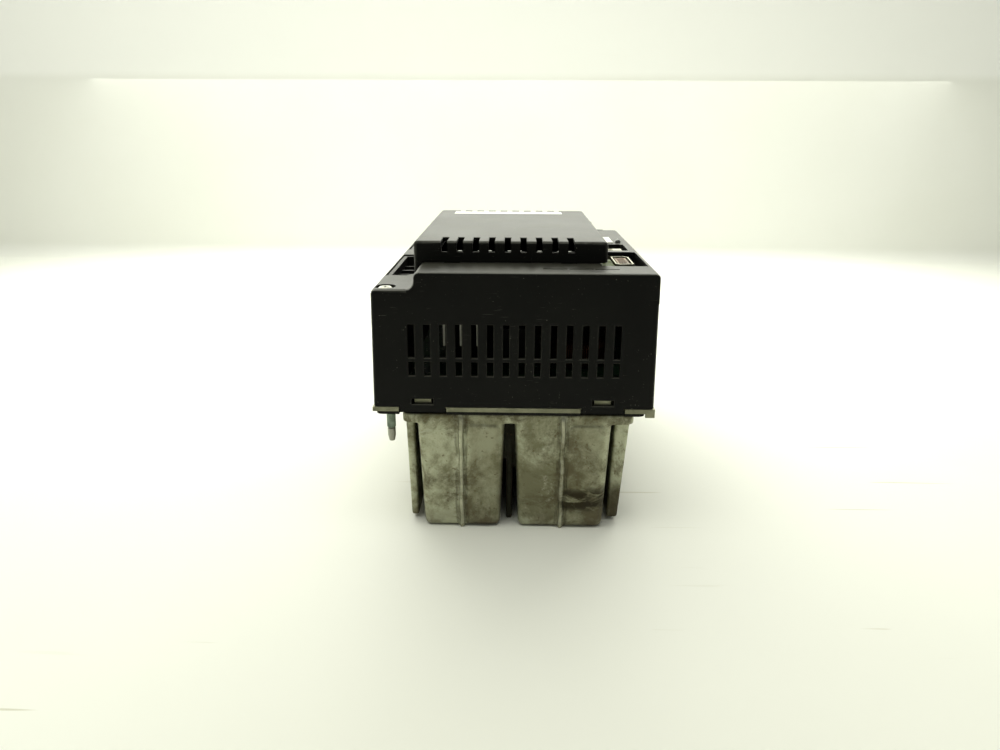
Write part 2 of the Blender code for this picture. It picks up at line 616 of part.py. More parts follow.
def terminal_outline(start, margin):
    """Plan of a power terminal opening, or of what drops into it, with its near right corner cut off."""
    half = TERMINAL_POLES * TERMINAL_PITCH / 2 + TERMINAL_END + margin
    middle = NEAR + start + TERMINAL_END + TERMINAL_POLES * TERMINAL_PITCH / 2
    x0 = TERMINAL_X - margin
    x1 = TERMINAL_X + TERMINAL_WIDTH + margin
    chamfer = TERMINAL_CHAMFER
    return [(x0, middle - half), (x1 - chamfer, middle - half), (x1, middle - half + chamfer), (x1, middle + half),
            (x0, middle + half)]


def make_housing():
    shell = cut(housing_solid(0.0), [housing_solid(CASE_WALL)])
    additions = []
    openings = vents(-1) + vents(1)
    for start, end in TABS:
        middle = (start + end) / 2
        for side in (-1, 1):
            ys = sorted((side * -NEAR, side * (-NEAR - CASE_WALL)))
            additions.append(box((start, ys[0], PLATE_BASE - GAP), (end, ys[1], CASE_BASE + 0.0020)))
            openings += end_opening(middle - WINDOW_WIDTH / 2, middle + WINDOW_WIDTH / 2,
                                    WINDOW_LOW, WINDOW_HIGH, side)
    sleeve_hole = SLEEVE_DIAMETER / 2 + GAP
    for x, y in SCREWS.values():
        boss = COUNTERBORE / 2 + BOSS_WALL / 2
        additions.append(rod(boss, (x, y, LOW_TOP - 0.0120), (x, y, LOW_TOP - CASE_WALL / 2)))
        additions.append(rod(SLEEVE_DIAMETER / 2 + BOSS_WALL, (x, y, CASE_BASE), (x, y, LOW_TOP - 0.0110)))
        openings.append(rod(COUNTERBORE / 2, (x, y, LOW_TOP - COUNTERBORE_DEPTH), (x, y, COVER_TOP), 24))
        openings.append(rod(SCREW_SHANK / 2 + SLIDE, (x, y, 0), (x, y, COVER_TOP)))
        openings.append(rod(sleeve_hole, (x, y, 0), (x, y, CASE_BASE + SLEEVE_ABOVE + SLIDE)))
    for start in TERMINAL_STARTS:
        openings.append(prism(terminal_outline(start, CLEAR), LOW_TOP - 0.0100, RAISED_TOP))
    openings.append(box((BAY_X[0], BAY_Y[0], LOW_TOP - 0.0080), (BAY_X[1], BAY_Y[1], COVER_TOP)))
    openings.append(box((SOCKET_X[0], SOCKET_Y[0], LOW_TOP), (SOCKET_X[1], SOCKET_Y[1], COVER_TOP)))
    switch = [(SWITCH_X[0], SWITCH_Y[0]), (SWITCH_X[1], SWITCH_Y[0]), (SWITCH_X[1], SWITCH_Y[1] - SWITCH_CORNER),
              (SWITCH_X[1] - SWITCH_CORNER, SWITCH_Y[1]), (SWITCH_X[0], SWITCH_Y[1])]
    openings.append(prism(switch, LOW_TOP, COVER_TOP))
    slit_y = NEAR + SLIT_START
    for i in range(SLIT_COUNT):
        x = CASE_WIDTH / 2 - SLIT_INSET + i * SLIT_PITCH
        openings.append(box((x, slit_y, LOW_TOP), (x + SLIT_LENGTH, slit_y + SLIT_WIDTH, COVER_TOP)))
    for x in HINGE_TAB_XS:
        half = HINGE_TAB[0] / 2 + SLIDE
        openings.append(box((x - half, COVER_NEAR - SLIDE, LOW_TOP), (x + half, COVER_NEAR + 0.0064, COVER_TOP)))
    return finish("housing_shell", cut(join(shell, additions), openings), black_plastic())


# ---- power stage inside the housing

def make_capacitors():
    radius = CAPACITOR_DIAMETER / 2
    top = WELL_FLOOR + CAPACITOR_HEIGHT
    base = WELL_FLOOR + GAP
    profile = [(0, base), (radius - 0.0015, base), (radius, base + 0.0015), (radius, top - 0.0070),
               (radius - 0.0012, top - 0.0060), (radius, top - 0.0050), (radius, top - 0.0010),
               (radius - 0.0010, top), (0.0050, top), (0.0050, POWER_BOARD - GAP), (0, POWER_BOARD - GAP)]
    names = iter(("near_left", "far_left", "near_right", "far_right"))
    for x0, x1 in WELLS:
        x = (x0 + x1) / 2
        for row in (0, 1):
            y = WELL_NEAR + WELL_WALL + CASTING_LEAN + EASY + radius + row * (CAPACITOR_DIAMETER + EASY)
            can = turned(profile, (x, y, 0), steps=20)
            finish("capacitor_" + next(names), can, material("capacitor_sleeve", (0.05, 0.07, 0.12), 0.4))


def board_bounds():
    """The power board keeps clear of the screw bosses at its two corners."""
    x = CASE_WIDTH / 2 - CASE_WALL - CASE_DRAFT * (POWER_BOARD + BOARD_THICK - CASE_BASE) - EASY
    y = -NEAR - SCREW_INSET[1] - SLEEVE_DIAMETER / 2 - BOSS_WALL - CLEAR
    return x, y


def standoff(place, radius, low, high):
    """A six-sided spacer."""
    return turned([(0, low), (radius, low), (radius, high), (0, high)], (*place, 0), steps=6)


def make_power_board():
    x, y = board_bounds()
    board = box((-x, -y, POWER_BOARD), (x, y, POWER_BOARD + BOARD_THICK))
    finish("power_board", board, circuit_board())
    near = WELL_NEAR + WELL_LENGTH
    base = PLATE_TOP + PAD_RISE + GAP
    wide, deep, tall = MODULE_SIZE
    middle = ((PAD_X[0] + PAD_X[1]) / 2, (near + PAD_Y[1]) / 2)
    module = box((middle[0] - wide / 2, middle[1] - deep / 2, base),
                 (middle[0] + wide / 2, middle[1] + deep / 2, POWER_BOARD - GAP))
    soften(module, lambda a, b: abs(a.z - b.z) > tall / 3, 0.0040)
    finish("power_module", module, dark_plastic())
    for i, (sx, sy) in enumerate(((-1, -1), (1, -1), (1, 1), (-1, 1)), 1):
        place = (sx * (x - 0.0050), sy * (y - 0.0050))
        finish(f"board_standoff_{i}", standoff(place, 0.0035, PLATE_TOP + GAP, POWER_BOARD - GAP), brass())


def make_power_components():
    """What stands on the power board behind the near vents and under the control board."""
    top = POWER_BOARD + BOARD_THICK + GAP
    near = -board_bounds()[1]
    comb_x, comb_pitch, comb_thick = (2 - (VENT_COUNT - 1) / 2) * VENT_PITCH - 0.00235, 0.0113, 0.0014
    comb_base, comb_top = CASE_BASE + 0.0330, CASE_BASE + 0.0600
    front = NEAR + 0.0290
    comb = box((comb_x, front + 0.0180, top), (comb_x + 3 * comb_pitch + comb_thick, front + 0.0205, comb_top))
    fins = []
    for i in range(4):
        x = comb_x + i * comb_pitch
        fins.append(box((x, front, comb_base), (x + comb_thick, front + 0.0190, comb_top)))
    finish("supply_heatsink", join(comb, fins), material("bright_aluminium", (0.75, 0.75, 0.72), 0.3, 1.0))
    choke_x, choke_y = 0.0450, near + 0.0300
    ring = turned([(0, 0), (0.0165, 0), (0.0190, 0.0025), (0.0190, 0.0135), (0.0165, 0.0160), (0, 0.0160)],
                  (choke_x, choke_y, top), steps=20)
    bore = rod(0.0080, (choke_x, choke_y, 0), (choke_x, choke_y, COVER_TOP))
    finish("common_mode_choke", cut(ring, [bore]), material("copper_winding", (0.55, 0.24, 0.10), 0.35, 0.9))
    for name, x, y, size, made_of in (
            ("supply_transformer", 0.0000, near + 0.0500, (0.0280, 0.0240, 0.0220), dark_plastic()),
            ("precharge_relay", 0.0480, near + 0.0800, (0.0290, 0.0130, 0.0250), dark_plastic()),
            ("driver_board", 0.0000, -near - DRIVER_SETBACK, (DRIVER_BOARD[0], BOARD_THICK, DRIVER_BOARD[1]),
             circuit_board())):
        block = box((x - size[0] / 2, y - size[1] / 2, top), (x + size[0] / 2, y + size[1] / 2, top + size[2]))
        soften(block, lambda a, b: True, min(0.0010, min(size) / 4), 1)
        finish(name, block, made_of)


# ---- power terminals

def pocket_plan(y0, y1, corner):
    x0, x1 = TERMINAL_X + TERMINAL_RIMS[0], TERMINAL_X + TERMINAL_WIDTH - TERMINAL_RIMS[1]
    plan = [(x0, y0), (x1 - corner, y0), (x1, y0 + corner), (x1, y1), (x0, y1)]
    return list(dict.fromkeys(plan))


def make_terminals():
    top = LOW_TOP - 0.0010
    base = POWER_BOARD + BOARD_THICK + GAP
    half = TERMINAL_PITCH / 2 - TERMINAL_RIMS[2]
    for number, start in enumerate(TERMINAL_STARTS, 1):
        block = prism(terminal_outline(start, 0.0), base, top)
        pockets, screws = [], []
        for pole in range(TERMINAL_POLES):
            y = NEAR + start + TERMINAL_END + (pole + 0.5) * TERMINAL_PITCH
            corner = TERMINAL_CHAMFER - 0.0010 if pole == 0 else 0.0
            pockets.append(prism(pocket_plan(y - half, y + half, corner), top - POCKET_DEPTH, COVER_TOP))
            place = (TERMINAL_X + TERMINAL_RIMS[0] + 0.0046, y)
            pockets.append(rod(0.0022 + SLIDE, (*place, top - POCKET_DEPTH - 0.0080), (*place, COVER_TOP), 12))
            screws.append(place)
        ends = (screws[0][1] - half, screws[-1][1] + half)
        pockets.append(prism(pocket_plan(*ends, TERMINAL_CHAMFER - 0.0010), top - TROUGH_DEPTH, COVER_TOP))
        finish(f"terminal_block_{number}", cut(block, pockets), black_plastic())
        seat = top - POCKET_DEPTH + GAP
        for pole, (x, y) in enumerate(screws, 1):
            profile = [(0, seat - 0.0070), (0.0022, seat - 0.0070), (0.0022, seat), (0.0036, seat),
                       (0.0036, seat + 0.0018), (0.0030, seat + 0.0024), (0, seat + 0.0024)]
            slot = box((x - 0.0005, y - 0.0040, seat + 0.0012), (x + 0.0005, y + 0.0040, seat + 0.0040))
            screw = cut(turned(profile, (x, y, 0), steps=12), [slot])
            finish(f"terminal_screw_{number}_{pole}", screw, bright_steel(), origin=(x, y, seat))


# ---- control electronics under the cover

def make_control_board():
    top = CONTROL_BOARD + BOARD_THICK + GAP
    x0, x1 = BAY_X[0] - 0.0030, SOCKET_X[1] - 0.0030
    y0, y1 = COVER_NEAR + 0.0010, BAY_Y[1] + 0.0040
    finish("control_board", box((x0, y0, CONTROL_BOARD), (x1, y1, CONTROL_BOARD + BOARD_THICK)), circuit_board())
    power_top = POWER_BOARD + BOARD_THICK + GAP
    inset = 0.0040
    corners = ((x0 + inset, y0 + inset), (x1 - inset, y0 + inset), (x1 - inset, y1 - inset), (x0 + inset, y1 - inset))
    for i, corner in enumerate(corners, 1):
        finish(f"control_standoff_{i}", standoff(corner, 0.0030, power_top, CONTROL_BOARD - GAP), brass())

    # Pluggable signal terminals: ribs between the poles, and a wire mouth in each pole
    tx0, tx1 = SOCKET_X[0] + 0.0024, SOCKET_X[0] + 0.0108
    ty0, poles, pitch = SOCKET_Y[0] + 0.0030, 8, 0.0051
    body = box((tx0, ty0, top), (tx1, ty0 + poles * pitch, RAISED_TOP - 0.0030))
    grooves = []
    for i in range(poles):
        y = ty0 + (i + 0.5) * pitch
        grooves.append(box((tx0 + 0.0012, y - 0.0017, RAISED_TOP - 0.0070), (tx1 + 0.0010, y + 0.0017, COVER_TOP)))
    finish("signal_terminal", cut(body, grooves), green_plastic())

    # Metal-shelled socket facing up, its long side along the drive
    sx, sy, half_x, half_y = SOCKET_X[0] + 0.0180, (SOCKET_Y[0] + SOCKET_Y[1]) / 2 + 0.0060, 0.0062, 0.0165
    point, tall = 0.0035, RAISED_TOP - 0.0020

    def shell_outline(inset):
        x0, x1 = sx - half_x + inset, sx + half_x - inset
        y0, y1 = sy - half_y + inset, sy + half_y - inset
        return [(x0, y0 + point - inset / 2), (sx - point + inset / 2, y0), (x1, y0 + point / 2),
                (x1, y1 - point + inset / 2), (sx + point - inset / 2, y1), (x0, y1 - point / 2)]

    shell = cut(prism(shell_outline(0.0), top, tall), [prism(shell_outline(0.0010), CONTROL_BOARD, COVER_TOP)])
    finish("socket_shell", shell, bright_steel())
    core = box((sx - half_x + 0.0022, sy - half_y + 0.0040, top),
               (sx + half_x - 0.0022, sy + half_y - 0.0040, tall - 0.0006))
    teeth = []
    for i in range(7):
        y = sy - half_y + 0.0058 + i * 0.0032
        teeth.append(box((sx - half_x + 0.0034, y, tall - 0.0050), (sx + half_x - 0.0034, y + 0.0017, COVER_TOP)))
    finish("socket_contacts", cut(core, teeth), material("gold_contact", (0.30, 0.15, 0.05), 0.35, 0.9))

    # Slide switches in one cream body, each lever in its own trough
    bx0, bx1 = SWITCH_X[0] + 0.0035, SWITCH_X[1] - 0.0030
    by0, by1 = SWITCH_Y[0] + 0.0005, SWITCH_Y[1] - 0.0120
    height = RAISED_TOP - 0.0015
    body = box((bx0, by0, top), (bx1, by1, height))
    lever_pitch = (by1 - by0) / 4
    troughs, levers = [], []
    x_mid = (bx0 + bx1) / 2
    trough_x, trough_y = 0.0036, lever_pitch * 0.36
    for i in range(4):
        y = by0 + (i + 0.5) * lever_pitch
        troughs.append(box((x_mid - trough_x, y - trough_y, height - 0.0030),
                           (x_mid + trough_x, y + trough_y, COVER_TOP)))
        levers.append(y)
    finish("switch_body", cut(body, troughs), cream_plastic())
    for i, y in enumerate(levers, 1):
        x = x_mid - 0.0018
        lever = box((x - 0.0014, y - trough_y + GAP, height - 0.0030 + GAP),
                    (x + 0.0014, y + trough_y - GAP, height + 0.0008), top_inset=0.0003)
        finish(f"switch_lever_{i}", lever, white_label(), origin=(x, y, height))

    # Processor, seen when the cover is open
    cx, cy, chip_half = COVER_MIDDLE, (y0 + y1) / 2 + 0.0060, 0.0130
    chip = box((cx - chip_half, cy - chip_half, top), (cx + chip_half, cy + chip_half, top + 0.0022),
               top_inset=0.0004)
    finish("processor", chip, dark_plastic())


def make_labels_and_lamp():
    x0, x1 = COVER_RIGHT + 0.0020, CASE_WIDTH / 2 - 0.0150
    y0, base = NEAR + 0.1300, RAISED_TOP + GAP
    label = box((x0, y0, base), (x1, y0 + 0.0300, base + LABEL_THICK))
    finish("terrace_label", label, white_label())
    profile = [(0, base), (0.0022, base), (0.0020, base + 0.0013), (0.0010, base + 0.0023), (0, base + 0.0025)]
    lamp = turned(profile, (x1 + 0.0040, y0 + 0.0030, 0), steps=12)
    finish("status_lamp", lamp, material("smoked_lens", (0.12, 0.13, 0.12), 0.2))


# ---- front cover and its two side latches

def make_cover():
    base = LOW_TOP + GAP
    outer = box((COVER_LEFT, COVER_NEAR, base), (COVER_RIGHT, COVER_FAR, COVER_TOP))
    soften(outer, lambda a, b: abs(a.z - b.z) > COVER_RISE / 2, COVER_CORNER, 3)
    soften(outer, lambda a, b: min(a.z, b.z) > COVER_TOP - GAP, COVER_EDGE, 3)
    under = leaned(prism(raised_profile(-SLIDE), NEAR, RAISED_END + EASY, "Y"))
    flank = box((COVER_LEFT - 0.0100, NEAR, LOW_TOP - 0.0010),
                (STEP_X + EASY, RAISED_END + SLIDE, LOW_TOP + STEP_FOOT_ROUND - 0.0008))
    hollow = box((COVER_LEFT + COVER_WALL, COVER_NEAR + COVER_WALL, LOW_TOP - 0.0010),
                 (COVER_RIGHT - COVER_WALL, COVER_FAR - COVER_WALL, COVER_TOP - COVER_WALL))
    cover = cut(outer, [under, flank, hollow])
    tabs = []
    for x in HINGE_TAB_XS:
        wide, thick, deep = HINGE_TAB
        tabs.append(box((x - wide / 2, COVER_NEAR + GAP, RAISED_TOP + GAP - deep),
                        (x + wide / 2, COVER_NEAR + GAP + thick, RAISED_TOP + 0.0020)))
    cover = join(cover, tabs)
    openings = []
    foot = COVER_TOP - SLOT_FOOT
    for i in range(SLOT_COUNT):
        x = COVER_MIDDLE + SLOT_OFFSET + (i - (SLOT_COUNT - 1) / 2) * SLOT_PITCH
        half = SLOT_WIDTH / 2
        for y0, y1 in ((COVER_NEAR - 0.0010, COVER_NEAR + SLOT_NEAR), (COVER_FAR - SLOT_FAR, COVER_FAR + 0.0010)):
            slot = box((x - half, y0, foot), (x + half, y1, COVER_TOP + 0.0010))
            mouth = box((x - half - MOUTH_CHAMFER * 2, y0 - MOUTH_CHAMFER * 2, COVER_TOP - MOUTH_CHAMFER),
                        (x + half + MOUTH_CHAMFER * 2, y1 + MOUTH_CHAMFER * 2, COVER_TOP + MOUTH_CHAMFER),
                        bottom_inset=MOUTH_CHAMFER * 2)
            openings.append(join(slot, [mouth]))
    label_x = (COVER_MIDDLE - COVER_LABEL[0] / 2 - LABEL_SHIFT, COVER_MIDDLE + COVER_LABEL[0] / 2 - LABEL_SHIFT)
    label_y = (COVER_FAR - COVER_LABEL_INSET - COVER_LABEL[1], COVER_FAR - COVER_LABEL_INSET)
    openings.append(box((label_x[0], label_y[0], COVER_TOP - 2 * LABEL_THICK),
                        (label_x[1], label_y[1], COVER_TOP + 0.0100)))
    for x in (COVER_LEFT, COVER_RIGHT):
        openings.append(box((x - 0.0050, LATCH_Y - LATCH[1] / 2 - SLIDE, LATCH_Z - LATCH[2] / 2 - SLIDE),
                            (x + 0.0050, LATCH_Y + LATCH[1] / 2 + SLIDE, LATCH_Z + LATCH[2] / 2 + SLIDE)))
    hinge = bpy.data.objects.new("cover_hinge", None)
    bpy.context.scene.collection.objects.link(hinge)
    hinge.location = HINGE
    finish("front_cover", cut(cover, openings), black_plastic(), parent=hinge)
    label = box((label_x[0] + GAP, label_y[0] + GAP, COVER_TOP - LABEL_THICK),
                (label_x[1] - GAP, label_y[1] - GAP, COVER_TOP))
    finish("cover_label", label, white_label(), parent=hinge)
    return hinge


def make_latches(hinge):
    """A pad that shows through each side of the cover, and the flange behind it that keeps it in."""
    for name, side, wall in (("left", -1, COVER_LEFT), ("right", 1, COVER_RIGHT)):
        inside = wall - side * (COVER_WALL + GAP)
        xs = sorted((wall + side * 0.0016, inside - side * 0.0010))
        pad = box((xs[0], LATCH_Y - LATCH[1] / 2, LATCH_Z - LATCH[2] / 2),
                  (xs[1], LATCH_Y + LATCH[1] / 2, LATCH_Z + LATCH[2] / 2))
        soften(pad, lambda a, b: abs(a.x - b.x) < GAP and side * a.x > side * wall, 0.0008)
        xs = sorted((inside, inside - side * 0.0020))
        reach = LATCH[1] / 2 + 0.0030
        flange = box((xs[0], LATCH_Y - reach, LATCH_Z - 0.0075),
                     (xs[1], LATCH_Y + reach, COVER_TOP - COVER_WALL - GAP))
        latch = join(pad, [flange])
        finish("cover_latch_" + name, latch, dark_plastic(), parent=hinge, origin=(wall, LATCH_Y, LATCH_Z))


# ---- fans under the far end

def make_fans():
    z = HEATSINK_HEIGHT / 2
    plate_y = FAN_END + GAP
    fan_end = FAN_END
    fan_start = fan_end - FAN_DEPTH
    half = FAN_SIZE / 2
    bores = []
    for name, x in zip(("left", "right"), FAN_XS):
        frame = prism(rounded(x - half, x + half, z - half, z + half, 0.0040, 3), fan_start, fan_end, "Y")
        bore = rod(FAN_BORE / 2, (x, fan_start + 0.0035, z), (x, fan_end + 0.0100, z), 28)
        windows = []
        for i in range(4):
            start = 45 + 90 * i
            sector = arc((x, z), FAN_BORE / 2 - 0.0002, start - 38, start + 38, 5)
            sector += arc((x, z), FAN_HUB / 2 + 0.0005, start + 34, start - 34, 3)
            windows.append(prism(sector, fan_start - 0.0100, fan_start + 0.0100, "Y"))
        holes = []
        for sx, sz in ((-1, -1), (-1, 1), (1, -1), (1, 1)):
            hx, hz = x + sx * FAN_HOLES / 2, z + sz * FAN_HOLES / 2
            holes.append(rod(0.0021, (hx, fan_start - 0.0100, hz), (hx, fan_end + 0.0100, hz), 8))
        finish("fan_frame_" + name, cut(frame, [join(bore, windows)] + holes), black_plastic())
        axis_start = fan_start + 0.0035 + SLIDE
        hub_profile = [(0, 0), (FAN_HUB / 2, 0), (FAN_HUB / 2, FAN_DEPTH - 0.0065),
                       (FAN_HUB / 2 - 0.0010, FAN_DEPTH - 0.0055), (0, FAN_DEPTH - 0.0055)]
        hub = turned(hub_profile, (x, axis_start, z), (0, 1, 0), 20)
        blades = []
        for i in range(BLADES):
            blade = box((-0.0006, -0.0085, FAN_HUB / 2 - 0.0010), (0.0006, 0.0085, FAN_BORE / 2 - 0.0012))
            turn = Matrix.Rotation(2 * math.pi * i / BLADES, 4, "Y") @ Matrix.Rotation(math.radians(42), 4, "Z")
            centre = (x, axis_start + (FAN_DEPTH - 0.0055) / 2, z)
            bmesh.ops.transform(blade, matrix=Matrix.Translation(centre) @ turn, verts=blade.verts)
            blades.append(blade)
        finish("fan_rotor_" + name, join(hub, blades), dark_plastic(), origin=(x, axis_start, z))
        bores.append(rod(FAN_BORE / 2 - 0.0010, (x, plate_y - 0.0100, z), (x, plate_y + 0.0100, z), 28))
    plate = box((FLANGE_X[0] + FAN_PLATE_INSETS[0], plate_y, 0.0030),
                (FLANGE_X[1] - FAN_PLATE_INSETS[1], plate_y + FAN_PLATE_THICK, HEATSINK_HEIGHT - 0.0010))
    finish("fan_plate", cut(plate, bores), zinc_steel())


def main():
    for existing in list(bpy.data.objects):
        bpy.data.objects.remove(existing)
    make_heatsink()
    make_plate()
    make_gasket()
    make_housing()
    make_captive_screws()
    make_capacitors()
    make_power_board()
    make_power_components()
    make_terminals()
    make_control_board()
    make_labels_and_lamp()
    make_latches(make_cover())
    make_fans()


main()
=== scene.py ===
"""Looks of a panel-mount variable frequency drive: a black vented housing and front cover on a zinc-plated
plate, over a cast aluminium heatsink with its capacitor wells, fins and two fans. Metres, in the frame of the
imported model."""

import math

import bmesh
import bpy
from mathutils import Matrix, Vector


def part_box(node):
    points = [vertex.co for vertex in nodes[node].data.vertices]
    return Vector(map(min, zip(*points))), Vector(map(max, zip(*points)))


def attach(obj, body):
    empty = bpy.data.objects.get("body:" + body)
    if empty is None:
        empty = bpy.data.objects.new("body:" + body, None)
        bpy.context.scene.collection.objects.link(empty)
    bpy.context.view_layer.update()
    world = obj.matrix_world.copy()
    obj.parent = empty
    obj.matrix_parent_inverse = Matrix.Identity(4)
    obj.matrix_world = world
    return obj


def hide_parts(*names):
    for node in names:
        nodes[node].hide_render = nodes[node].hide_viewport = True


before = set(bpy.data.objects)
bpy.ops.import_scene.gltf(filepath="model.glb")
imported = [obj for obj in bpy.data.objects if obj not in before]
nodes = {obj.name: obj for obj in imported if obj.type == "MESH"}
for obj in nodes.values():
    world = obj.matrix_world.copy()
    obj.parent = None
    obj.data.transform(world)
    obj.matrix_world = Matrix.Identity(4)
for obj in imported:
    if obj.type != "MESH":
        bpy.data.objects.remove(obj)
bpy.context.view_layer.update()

# ---- camera: stands in front of the vented end, a little above the drive, and looks along it and down.
# It is held by hand, so it is turned and rolled by a small angle.
view_down, view_turn, view_roll = math.radians(18.60), math.radians(-1.15), math.radians(-0.25)
camera = bpy.data.objects.new("camera", bpy.data.cameras.new("camera"))
bpy.context.scene.collection.objects.link(camera)
camera.location = (-0.0005, -0.5955, 0.2630)
camera.rotation_euler = (math.pi / 2 - view_down, view_roll, -view_turn)
camera.data.lens = 26.32
camera.data.clip_start = 0.01
bpy.context.scene.camera = camera
bpy.context.scene.view_settings.view_transform = "Standard"


# ---- stage: a pale sheet of paper, which runs flat under the drive and curves up behind it.
# Soft light comes from above, from behind the drive and onto the upright part, and it is a little green.
class Wire:
    """A shader socket. An expression on wires adds the Math nodes that work it out."""

    def __init__(self, finish, socket):
        self.finish, self.socket = finish, socket

    def math(self, operation, *others):
        """A Math node that takes this wire first, and then the others."""
        return self.finish.node("ShaderNodeMath", {"operation": operation}, dict(enumerate((self, *others))))

    def __add__(self, other):
        return self.math("ADD", other)

    def __sub__(self, other):
        return self.math("SUBTRACT", other)

    def __rsub__(self, other):
        return self.finish.node("ShaderNodeMath", {"operation": "SUBTRACT"}, {0: other, 1: self})

    def __mul__(self, other):
        return self.math("MULTIPLY", other)

    def __abs__(self):
        return self.math("ABSOLUTE")

    __radd__, __rmul__ = __add__, __mul__

    def ramp(self, low, high):
        """0 below low, 1 above high, and a smooth step between them."""
        return self.finish.node("ShaderNodeMapRange", {"interpolation_type": "SMOOTHSTEP"},
                                {0: self, 1: low, 2: high, 3: 0.0, 4: 1.0})


class Finish:
    """A material in the making, whose wires start from the place on the piece in metres."""

    def __init__(self, name, colour, roughness, metallic=0.0, **fixed):
        self.material = bpy.data.materials.new(name)
        self.material.use_nodes = True
        self.tree = self.material.node_tree
        self.shader = self.tree.nodes["Principled BSDF"]
        self.place = self.node("ShaderNodeTexCoord", output="Object")
        self.facing = self.node("ShaderNodeTexCoord", output="Normal")
        self.feed("Base Color", (*colour, 1.0))
        self.feed("Roughness", roughness)
        self.feed("Metallic", metallic)
        for socket, value in fixed.items():
            self.feed(socket.replace("_", " "), value)

    def node(self, kind, settings=None, sockets=None, output=0):
        made = self.tree.nodes.new(kind)
        for name, value in (settings or {}).items():
            setattr(made, name, value)
        for key, value in (sockets or {}).items():
            if isinstance(value, Wire):
                self.tree.links.new(value.socket, made.inputs[key])
            else:
                made.inputs[key].default_value = value
        return Wire(self, made.outputs[output])

    def feed(self, socket, value):
        if isinstance(value, Wire):
            self.tree.links.new(value.socket, self.shader.inputs[socket])
        else:
            self.shader.inputs[socket].default_value = value

    def noise(self, scale, detail=3.0, roughness=0.55, place=None, distortion=0.0):
        return self.node("ShaderNodeTexNoise", None, {
            "Vector": place or self.place, "Scale": scale, "Detail": detail, "Roughness": roughness,
            "Distortion": distortion})

    def stretched(self, scale, turn=(0, 0, 0)):
        """The place, turned and stretched, for grain and scratches that run one way."""
        return self.node("ShaderNodeMapping", None, {"Vector": self.place, "Rotation": turn, "Scale": scale})

    def axis(self, vector, letter):
        return self.node("ShaderNodeSeparateXYZ", None, {0: vector}, output=letter)

    def mix(self, share, first, second):
        """Two colours, the second showing by its share."""
        first, second = (c if isinstance(c, Wire) else (*c, 1.0) for c in (first, second))
        return self.node("ShaderNodeMix", {"data_type": "RGBA"}, {0: share, 6: first, 7: second}, output=2)

    def bump(self, height, depth, strength=1.0, under=None):
        sockets = {"Height": height, "Distance": depth, "Strength": strength}
        if under:
            sockets["Normal"] = under
        return self.node("ShaderNodeBump", None, sockets)


def sheet_of_paper():
    """Pale matt paper, clouded, yellower near the camera, and scratched where things have stood on it. High on
    the upright part it is painted lighter, as painted light where the light behind the drive doesn't reach.
    """
    paper = Finish("stage_paper", (0.86, 0.87, 0.81), 0.6, Specular_IOR_Level=0.2)
    cloud = paper.noise(3.0, 4.0)
    scratches = 0.0
    for turn, along, share in ((0.35, 5.0, 0.8), (1.9, 7.0, 0.7), (2.6, 4.0, 0.7)):
        slant = paper.stretched((along, 190.0, 1.0), (0, 0, turn))
        lines = paper.noise(1.0, 1.5, place=slant, distortion=0.5)
        scratches = scratches + lines.ramp(0.735, 0.755) * (paper.noise(5.0).ramp(0.48, 0.62) * share)
    near = 1.0 - paper.axis(paper.place, "Y").ramp(-0.55, 0.25)
    height = paper.axis(paper.place, "Z")
    on_floor = 1.0 - height.ramp(0.001, 0.010)
    painted_wall_light = height.ramp(0.352, 0.372)  # the upright part that the light behind the drive doesn't reach, painted lighter there as painted light
    tint = paper.mix(cloud.ramp(0.3, 0.7), (0.880, 0.886, 0.830), (0.905, 0.911, 0.865))
    tint = paper.mix(near * 0.6, tint, (0.895, 0.900, 0.800))
    # painted light: the upright part above the cut is painted lighter to stand in for the missing light
    tint = paper.mix(painted_wall_light, tint, (0.980, 0.985, 0.950))
    paper.feed("Base Color", paper.mix(scratches * on_floor * 0.75, tint, (0.46, 0.43, 0.26)))
    paper.feed("Roughness", 0.5 + cloud * 0.2)
    return paper.material


stage_near, stage_far, stage_half, stage_bend = -1.8, 0.93, 3.0, 0.03
stage_top, bend_steps = 3.2, 15
profile = [(stage_near, 0.0), (stage_far, 0.0)]
for step in range(1, bend_steps + 1):
    turn = math.pi / 2 * step / bend_steps
    profile.append((stage_far + stage_bend * math.sin(turn), stage_bend - stage_bend * math.cos(turn)))
profile.append((stage_far + stage_bend, stage_top))
bm = bmesh.new()
rows = [[bm.verts.new((x, y, z)) for y, z in profile] for x in (-stage_half, stage_half)]
for i in range(len(profile) - 1):
    bm.faces.new((rows[0][i], rows[1][i], rows[1][i + 1], rows[0][i + 1]))
stage_mesh = bpy.data.meshes.new("stage")
bm.to_mesh(stage_mesh)
stage_mesh.materials.append(sheet_of_paper())
stage_mesh.shade_smooth()
stage = bpy.data.objects.new("stage", stage_mesh)
bpy.context.scene.collection.objects.link(stage)

world = bpy.data.worlds.new("studio")
bpy.context.scene.world = world
world.use_nodes = True
world.node_tree.nodes["Background"].inputs["Color"].default_value = (0.97, 0.99, 0.90, 1.0)
world.node_tree.nodes["Background"].inputs["Strength"].default_value = 0.20
for name, place, aim, size, power in (
        ("light_above", (-0.35, 0.10, 1.5), (0.0, 0.15, 0.1), (1.9, 1.5), 17.0),
        ("light_behind", (0.0, 0.86, 0.56), (0.0, 0.0, 0.14), (1.7, 0.62), 15.0),
        ("light_wall", (0.0, -0.3, 1.5), (0.0, 0.95, 0.5), (2.2, 0.8), 6.0)):
    light = bpy.data.lights.new(name, "AREA")
    light.shape = "RECTANGLE"
    light.size, light.size_y = size
    light.energy = power
    light.color = (0.99, 1.0, 0.90)
    holder = bpy.data.objects.new(name, light)
    bpy.context.scene.collection.objects.link(holder)
    holder.location = place
    holder.rotation_mode = "QUATERNION"
    holder.rotation_quaternion = (Vector(aim) - Vector(place)).to_track_quat("-Z", "Y")
    holder.visible_camera = False
